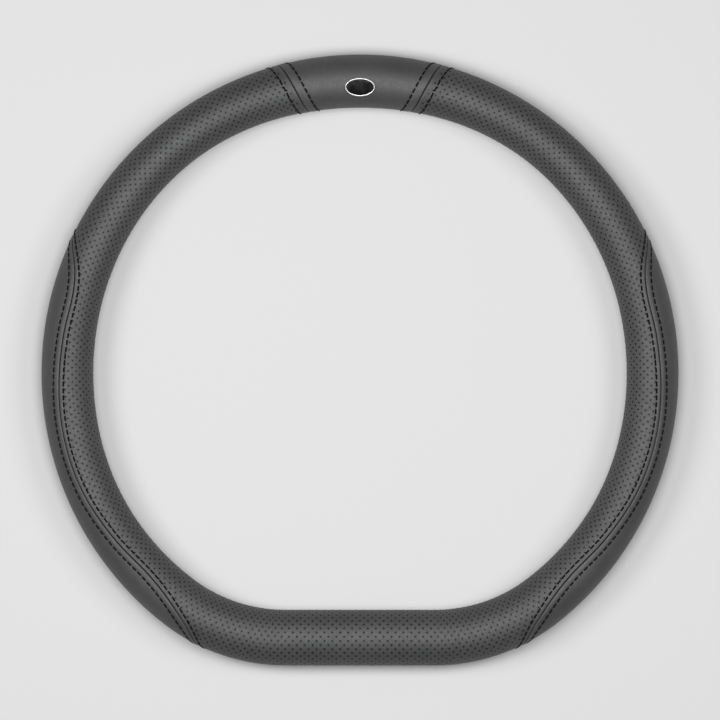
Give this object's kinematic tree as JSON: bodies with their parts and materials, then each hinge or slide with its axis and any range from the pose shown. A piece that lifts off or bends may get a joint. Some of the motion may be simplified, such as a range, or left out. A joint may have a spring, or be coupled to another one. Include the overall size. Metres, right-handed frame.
{
  "type": "steering wheel cover",
  "caption": "Flat-bottomed steering wheel cover: sewn smooth and perforated leather over a rubber ring of C section, which snaps over the wheel's rim.",
  "frame": {"origin": "centre of the cover's outline, on the plane that it lies on", "axes": "+Z is the face that the driver sees, +Y is twelve o'clock, +X is three o'clock"},
  "size_m": [0.3798, 0.3644, 0.0356],
  "materials": {
    "smooth_leather": "matte",
    "perforated_leather": "matte",
    "rubber": "matte",
    "thread": "satin",
    "badge_metal": "polished",
    "badge_enamel": "gloss"
  },
  "bodies": {
    "root": {"rubber_inner_ring": "rubber", "perforated_panel": "perforated_leather", "top_panel": "smooth_leather", "left_grip_panel": "smooth_leather", "right_grip_panel": "smooth_leather", "left_top_seam_upper_thread": "thread", "left_top_seam_lower_thread": "thread", "right_top_seam_upper_thread": "thread", "right_top_seam_lower_thread": "thread", "left_grip_seam_outer_thread": "thread", "left_grip_seam_inner_thread": "thread", "right_grip_seam_outer_thread": "thread", "right_grip_seam_inner_thread": "thread", "front_hem_thread": "thread", "back_hem_thread": "thread", "badge_tray": "badge_metal", "badge_face": "badge_enamel"}
  },
  "joints": []
}
